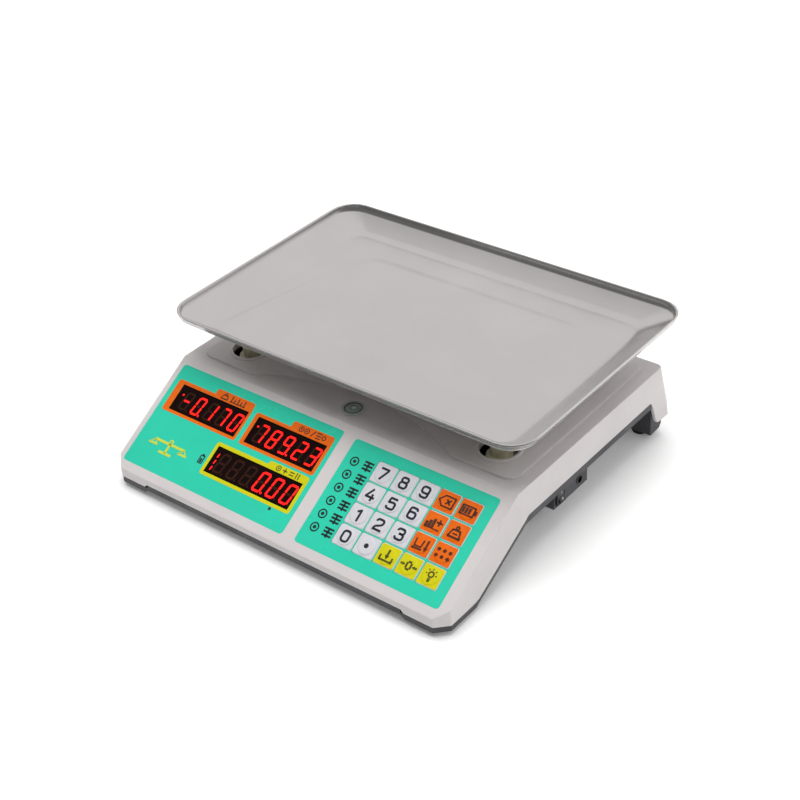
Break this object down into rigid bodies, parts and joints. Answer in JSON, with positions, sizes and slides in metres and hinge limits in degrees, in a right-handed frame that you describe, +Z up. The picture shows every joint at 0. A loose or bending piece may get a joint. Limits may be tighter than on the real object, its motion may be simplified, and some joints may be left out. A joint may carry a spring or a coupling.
{
  "type": "retail price scale",
  "caption": "Counter scale with a loose steel pan on cream posts, a sloping panel with figure keys and red digital displays, a bubble level and levelling feet.",
  "frame": {"origin": "on the counter under the middle of the scale's bounding box", "axes": "+X to the shopkeeper's right along the longest side, +Y away from the shopkeeper towards the customer, +Z up"},
  "size_m": [0.34, 0.3082, 0.1122],
  "materials": {
    "shell_plastic": "satin off-white moulding",
    "base_plastic": "dark grey moulding",
    "pan_steel": "polished pressed sheet",
    "post_plastic": "cream moulding",
    "frame_steel": "zinc-plated plate",
    "cell_aluminium": "machined bar",
    "screw_steel": "zinc-plated",
    "label_film": "printed film",
    "white_key": "satin key cap",
    "orange_key": "satin key cap",
    "yellow_key": "satin key cap",
    "display_lens": "dark display face",
    "circuit_board": "green board",
    "battery_case": "black case",
    "switch_plastic": "black moulding",
    "level_bezel": "black ring",
    "level_vial": "clear vial",
    "foot_rubber": "black rubber"
  },
  "bodies": {
    "casing": {"base_housing": "base_plastic", "top_housing": "shell_plastic", "load_cell": "cell_aluminium", "cell_bracket": "frame_steel", "bracket_screw_front": "screw_steel", "bracket_screw_rear": "screw_steel", "display_overlay": "label_film", "keypad_overlay": "label_film", "rear_overlay": "label_film", "weight_display": "display_lens", "price_display": "display_lens", "total_display": "display_lens", "rear_display": "display_lens", "display_board": "circuit_board", "keypad_board": "circuit_board", "main_board": "circuit_board", "battery": "battery_case", "battery_door": "base_plastic", "power_switch_body": "switch_plastic", "power_jack": "switch_plastic", "level_body": "level_bezel", "level_glass": "level_vial"},
    "platform": {"load_spider": "frame_steel", "pan_post_front_left": "post_plastic", "pan_post_front_right": "post_plastic", "pan_post_rear_left": "post_plastic", "pan_post_rear_right": "post_plastic", "spider_screw_front": "screw_steel", "spider_screw_rear": "screw_steel"},
    "pan": {"weighing_pan": "pan_steel"},
    "rocker": {"power_rocker": "switch_plastic"},
    "cap_7": {"key_7": "white_key"},
    "cap_8": {"key_8": "white_key"},
    "cap_9": {"key_9": "white_key"},
    "cap_clear": {"key_clear": "orange_key"},
    "cap_voltage": {"key_voltage": "orange_key"},
    "cap_4": {"key_4": "white_key"},
    "cap_5": {"key_5": "white_key"},
    "cap_6": {"key_6": "white_key"},
    "cap_accumulate": {"key_accumulate": "orange_key"},
    "cap_weight": {"key_weight": "orange_key"},
    "cap_1": {"key_1": "white_key"},
    "cap_2": {"key_2": "white_key"},
    "cap_3": {"key_3": "white_key"},
    "cap_tare": {"key_tare": "orange_key"},
    "cap_count": {"key_count": "orange_key"},
    "cap_0": {"key_0": "white_key"},
    "cap_point": {"key_point": "white_key"},
    "cap_store": {"key_store": "yellow_key"},
    "cap_zero": {"key_zero": "yellow_key"},
    "cap_light": {"key_light": "yellow_key"},
    "stud_front_left": {"foot_stud_front_left": "screw_steel"},
    "pad_front_left": {"foot_pad_front_left": "foot_rubber"},
    "stud_front_right": {"foot_stud_front_right": "screw_steel"},
    "pad_front_right": {"foot_pad_front_right": "foot_rubber"},
    "stud_rear_left": {"foot_stud_rear_left": "screw_steel"},
    "pad_rear_left": {"foot_pad_rear_left": "foot_rubber"},
    "stud_rear_right": {"foot_stud_rear_right": "screw_steel"},
    "pad_rear_right": {"foot_pad_rear_right": "foot_rubber"}
  },
  "joints": [
    {"name": "platform_deflection", "type": "slide", "parent": "casing", "child": "platform", "axis": [0, 0, -1], "range_m": [0, 0.00025], "stiffness_N_per_m": 60000, "springref_m": -0.00019},
    {"name": "pan_lift", "type": "slide", "parent": "platform", "child": "pan", "axis": [0, 0, 1], "range_m": [0, 0.08]},
    {"name": "power_rocker_tilt", "type": "hinge", "parent": "casing", "child": "rocker", "pos_m": [0.1572, -0.005, 0.0292], "axis": [0, 1, 0], "range_deg": [0, 18]},
    {"name": "key_7_press", "type": "slide", "parent": "casing", "child": "cap_7", "axis": [0, 0.5045, -0.8634], "range_m": [0, 0.0005], "stiffness_N_per_m": 2500, "springref_m": -0.0001},
    {"name": "key_8_press", "type": "slide", "parent": "casing", "child": "cap_8", "axis": [0, 0.5045, -0.8634], "range_m": [0, 0.0005], "stiffness_N_per_m": 2500, "springref_m": -0.0001},
    {"name": "key_9_press", "type": "slide", "parent": "casing", "child": "cap_9", "axis": [0, 0.5045, -0.8634], "range_m": [0, 0.0005], "stiffness_N_per_m": 2500, "springref_m": -0.0001},
    {"name": "key_clear_press", "type": "slide", "parent": "casing", "child": "cap_clear", "axis": [0, 0.5045, -0.8634], "range_m": [0, 0.0005], "stiffness_N_per_m": 2500, "springref_m": -0.0001},
    {"name": "key_voltage_press", "type": "slide", "parent": "casing", "child": "cap_voltage", "axis": [0, 0.5045, -0.8634], "range_m": [0, 0.0005], "stiffness_N_per_m": 2500, "springref_m": -0.0001},
    {"name": "key_4_press", "type": "slide", "parent": "casing", "child": "cap_4", "axis": [0, 0.5045, -0.8634], "range_m": [0, 0.0005], "stiffness_N_per_m": 2500, "springref_m": -0.0001},
    {"name": "key_5_press", "type": "slide", "parent": "casing", "child": "cap_5", "axis": [0, 0.5045, -0.8634], "range_m": [0, 0.0005], "stiffness_N_per_m": 2500, "springref_m": -0.0001},
    {"name": "key_6_press", "type": "slide", "parent": "casing", "child": "cap_6", "axis": [0, 0.5045, -0.8634], "range_m": [0, 0.0005], "stiffness_N_per_m": 2500, "springref_m": -0.0001},
    {"name": "key_accumulate_press", "type": "slide", "parent": "casing", "child": "cap_accumulate", "axis": [0, 0.5045, -0.8634], "range_m": [0, 0.0005], "stiffness_N_per_m": 2500, "springref_m": -0.0001},
    {"name": "key_weight_press", "type": "slide", "parent": "casing", "child": "cap_weight", "axis": [0, 0.5045, -0.8634], "range_m": [0, 0.0005], "stiffness_N_per_m": 2500, "springref_m": -0.0001},
    {"name": "key_1_press", "type": "slide", "parent": "casing", "child": "cap_1", "axis": [0, 0.5045, -0.8634], "range_m": [0, 0.0005], "stiffness_N_per_m": 2500, "springref_m": -0.0001},
    {"name": "key_2_press", "type": "slide", "parent": "casing", "child": "cap_2", "axis": [0, 0.5045, -0.8634], "range_m": [0, 0.0005], "stiffness_N_per_m": 2500, "springref_m": -0.0001},
    {"name": "key_3_press", "type": "slide", "parent": "casing", "child": "cap_3", "axis": [0, 0.5045, -0.8634], "range_m": [0, 0.0005], "stiffness_N_per_m": 2500, "springref_m": -0.0001},
    {"name": "key_tare_press", "type": "slide", "parent": "casing", "child": "cap_tare", "axis": [0, 0.5045, -0.8634], "range_m": [0, 0.0005], "stiffness_N_per_m": 2500, "springref_m": -0.0001},
    {"name": "key_count_press", "type": "slide", "parent": "casing", "child": "cap_count", "axis": [0, 0.5045, -0.8634], "range_m": [0, 0.0005], "stiffness_N_per_m": 2500, "springref_m": -0.0001},
    {"name": "key_0_press", "type": "slide", "parent": "casing", "child": "cap_0", "axis": [0, 0.5045, -0.8634], "range_m": [0, 0.0005], "stiffness_N_per_m": 2500, "springref_m": -0.0001},
    {"name": "key_point_press", "type": "slide", "parent": "casing", "child": "cap_point", "axis": [0, 0.5045, -0.8634], "range_m": [0, 0.0005], "stiffness_N_per_m": 2500, "springref_m": -0.0001},
    {"name": "key_store_press", "type": "slide", "parent": "casing", "child": "cap_store", "axis": [0, 0.5045, -0.8634], "range_m": [0, 0.0005], "stiffness_N_per_m": 2500, "springref_m": -0.0001},
    {"name": "key_zero_press", "type": "slide", "parent": "casing", "child": "cap_zero", "axis": [0, 0.5045, -0.8634], "range_m": [0, 0.0005], "stiffness_N_per_m": 2500, "springref_m": -0.0001},
    {"name": "key_light_press", "type": "slide", "parent": "casing", "child": "cap_light", "axis": [0, 0.5045, -0.8634], "range_m": [0, 0.0005], "stiffness_N_per_m": 2500, "springref_m": -0.0001},
    {"name": "foot_front_left_lower", "type": "slide", "parent": "casing", "child": "stud_front_left", "axis": [0, 0, -1], "range_m": [0, 0.005]},
    {"name": "foot_front_left_screw", "type": "hinge", "parent": "stud_front_left", "child": "pad_front_left", "pos_m": [-0.14, -0.135, 0], "axis": [0, 0, -1], "range_deg": [0, 1800]},
    {"name": "foot_front_right_lower", "type": "slide", "parent": "casing", "child": "stud_front_right", "axis": [0, 0, -1], "range_m": [0, 0.005]},
    {"name": "foot_front_right_screw", "type": "hinge", "parent": "stud_front_right", "child": "pad_front_right", "pos_m": [0.14, -0.135, 0], "axis": [0, 0, -1], "range_deg": [0, 1800]},
    {"name": "foot_rear_left_lower", "type": "slide", "parent": "casing", "child": "stud_rear_left", "axis": [0, 0, -1], "range_m": [0, 0.005]},
    {"name": "foot_rear_left_screw", "type": "hinge", "parent": "stud_rear_left", "child": "pad_rear_left", "pos_m": [-0.143, 0.1316, 0], "axis": [0, 0, -1], "range_deg": [0, 1800]},
    {"name": "foot_rear_right_lower", "type": "slide", "parent": "casing", "child": "stud_rear_right", "axis": [0, 0, -1], "range_m": [0, 0.005]},
    {"name": "foot_rear_right_screw", "type": "hinge", "parent": "stud_rear_right", "child": "pad_rear_right", "pos_m": [0.143, 0.1316, 0], "axis": [0, 0, -1], "range_deg": [0, 1800]}
  ],
  "couplings": [
    {"joint": "foot_front_left_screw", "follows": "foot_front_left_lower", "rad_per_m": 6283.2},
    {"joint": "foot_front_right_screw", "follows": "foot_front_right_lower", "rad_per_m": 6283.2},
    {"joint": "foot_rear_left_screw", "follows": "foot_rear_left_lower", "rad_per_m": 6283.2},
    {"joint": "foot_rear_right_screw", "follows": "foot_rear_right_lower", "rad_per_m": 6283.2}
  ]
}
